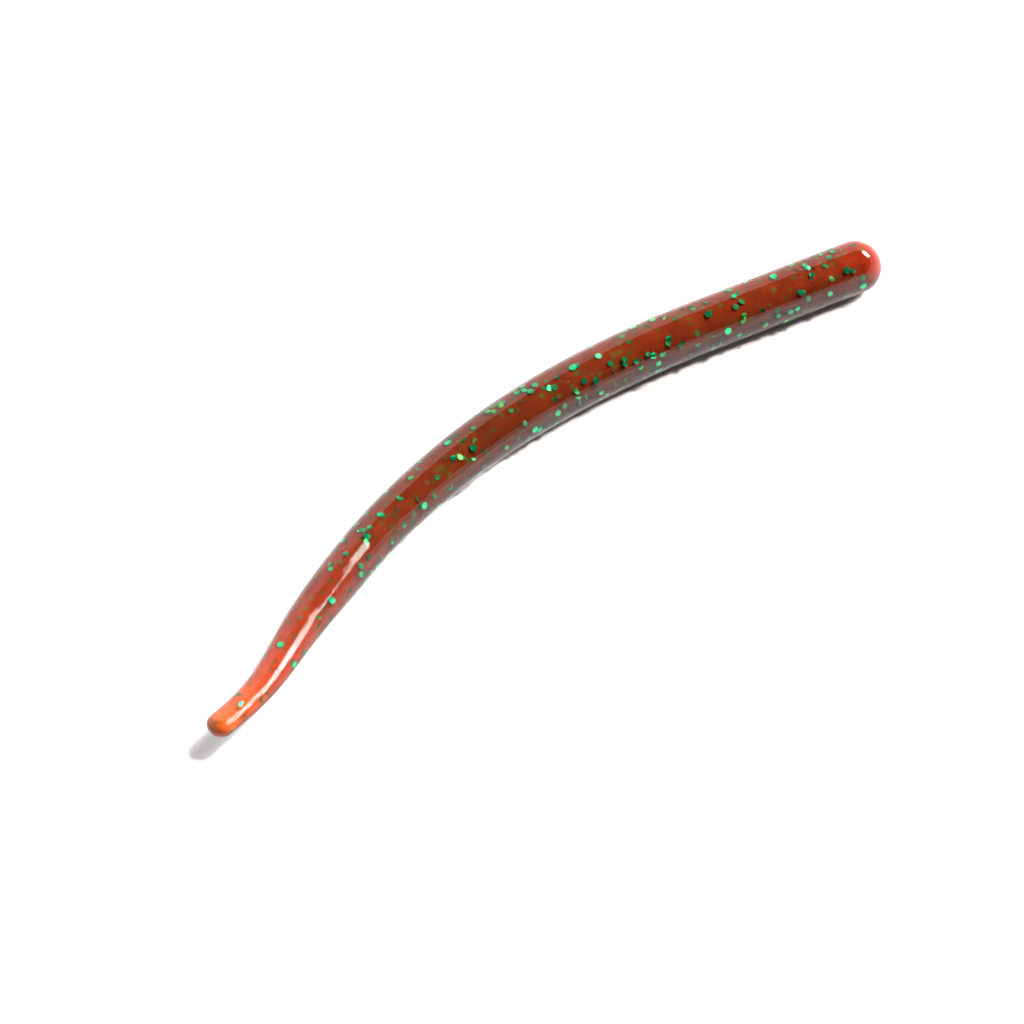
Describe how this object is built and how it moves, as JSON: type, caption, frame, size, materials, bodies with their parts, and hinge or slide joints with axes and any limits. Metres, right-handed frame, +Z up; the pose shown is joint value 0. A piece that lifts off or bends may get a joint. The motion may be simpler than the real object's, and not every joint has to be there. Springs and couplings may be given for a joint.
{
  "type": "soft plastic worm",
  "caption": "Straight-tailed soft plastic fishing worm with glitter flakes, modelled as a chain of lengths that flex at sprung joints.",
  "frame": {"origin": "middle of the underside of the bounding box, on the surface that the worm lies on", "axes": "+X towards the nose along the worm's chord, +Z up, and the body bows towards +Y"},
  "size_m": [0.1176, 0.0182, 0.0071],
  "materials": {
    "soft_plastic": "glossy, clear tinted plastisol",
    "glitter": "metallic film"
  },
  "bodies": {
    "nose": {"nose": "soft_plastic", "glitter_flake_01": "glitter", "glitter_flake_02": "glitter", "glitter_flake_03": "glitter", "glitter_flake_04": "glitter"},
    "head": {"head": "soft_plastic", "glitter_flake_05": "glitter", "glitter_flake_06": "glitter", "glitter_flake_07": "glitter", "glitter_flake_08": "glitter"},
    "neck": {"neck": "soft_plastic", "glitter_flake_09": "glitter", "glitter_flake_10": "glitter", "glitter_flake_11": "glitter", "glitter_flake_12": "glitter"},
    "shoulder": {"shoulder": "soft_plastic", "glitter_flake_13": "glitter", "glitter_flake_14": "glitter", "glitter_flake_15": "glitter", "glitter_flake_16": "glitter"},
    "front_body": {"front_body": "soft_plastic", "glitter_flake_17": "glitter", "glitter_flake_18": "glitter", "glitter_flake_19": "glitter", "glitter_flake_20": "glitter"},
    "front_middle": {"front_middle": "soft_plastic", "glitter_flake_21": "glitter", "glitter_flake_22": "glitter", "glitter_flake_23": "glitter", "glitter_flake_24": "glitter"},
    "rear_middle": {"rear_middle": "soft_plastic", "glitter_flake_25": "glitter", "glitter_flake_26": "glitter", "glitter_flake_27": "glitter", "glitter_flake_28": "glitter"},
    "rear_body": {"rear_body": "soft_plastic", "glitter_flake_29": "glitter", "glitter_flake_30": "glitter", "glitter_flake_31": "glitter", "glitter_flake_32": "glitter"},
    "hip": {"hip": "soft_plastic", "glitter_flake_33": "glitter", "glitter_flake_34": "glitter", "glitter_flake_35": "glitter", "glitter_flake_36": "glitter"},
    "tail_root": {"tail_root": "soft_plastic", "glitter_flake_37": "glitter", "glitter_flake_38": "glitter", "glitter_flake_39": "glitter", "glitter_flake_40": "glitter"},
    "tail_middle": {"tail_middle": "soft_plastic", "glitter_flake_41": "glitter", "glitter_flake_42": "glitter", "glitter_flake_43": "glitter", "glitter_flake_44": "glitter"},
    "tail_tip": {"tail_tip": "soft_plastic", "glitter_flake_45": "glitter", "glitter_flake_46": "glitter", "glitter_flake_47": "glitter", "glitter_flake_48": "glitter"}
  },
  "joints": [
    {"name": "head_sway", "type": "hinge", "parent": "nose", "child": "head", "pos_m": [0.04902, -0.00373, 0.00345], "axis": [0, 0, 1], "range_deg": [-30, 30], "stiffness_Nm_per_rad": 0.000931},
    {"name": "neck_lift", "type": "hinge", "parent": "head", "child": "neck", "pos_m": [0.03932, -0.00104, 0.00345], "axis": [0.2648, 0.9643, 0], "range_deg": [0, 25], "stiffness_Nm_per_rad": 0.000931},
    {"name": "shoulder_sway", "type": "hinge", "parent": "neck", "child": "shoulder", "pos_m": [0.02961, 0.0016, 0.00345], "axis": [0, 0, 1], "range_deg": [-32, 32], "stiffness_Nm_per_rad": 0.000931},
    {"name": "front_body_lift", "type": "hinge", "parent": "shoulder", "child": "front_body", "pos_m": [0.01977, 0.0037, 0.00345], "axis": [0.1722, 0.9851, 0.0001], "range_deg": [0, 27], "stiffness_Nm_per_rad": 0.000931},
    {"name": "front_middle_sway", "type": "hinge", "parent": "front_body", "child": "front_middle", "pos_m": [0.0098, 0.00507, 0.0034], "axis": [-0.0089, 0.0007, 1], "range_deg": [-34, 34], "stiffness_Nm_per_rad": 0.000876},
    {"name": "rear_middle_lift", "type": "hinge", "parent": "front_middle", "child": "rear_middle", "pos_m": [-0.00024, 0.0056, 0.00327], "axis": [0.0024, 1, 0.0001], "range_deg": [0, 30], "stiffness_Nm_per_rad": 0.000757},
    {"name": "rear_body_sway", "type": "hinge", "parent": "rear_middle", "child": "rear_body", "pos_m": [-0.01029, 0.00511, 0.00311], "axis": [-0.0149, -0.0014, 0.9999], "range_deg": [-38, 38], "stiffness_Nm_per_rad": 0.000626},
    {"name": "hip_lift", "type": "hinge", "parent": "rear_body", "child": "hip", "pos_m": [-0.02025, 0.0037, 0.00297], "axis": [-0.1952, 0.9808, -0.0001], "range_deg": [0, 33], "stiffness_Nm_per_rad": 0.000521},
    {"name": "tail_root_sway", "type": "hinge", "parent": "hip", "child": "tail_root", "pos_m": [-0.02999, 0.00119, 0.00288], "axis": [0.0008, 0.0006, 1], "range_deg": [-42, 42], "stiffness_Nm_per_rad": 0.000435},
    {"name": "tail_middle_lift", "type": "hinge", "parent": "tail_root", "child": "tail_middle", "pos_m": [-0.03955, -0.00196, 0.00299], "axis": [-0.339, 0.9408, -0.0005], "range_deg": [-4, 30], "stiffness_Nm_per_rad": 0.000142, "springref_deg": 6.88},
    {"name": "tail_tip_sway", "type": "hinge", "parent": "tail_middle", "child": "tail_tip", "pos_m": [-0.04892, -0.00563, 0.00344], "axis": [0.0539, 0.0141, 0.9984], "range_deg": [-48, 48], "stiffness_Nm_per_rad": 0.0000668}
  ]
}
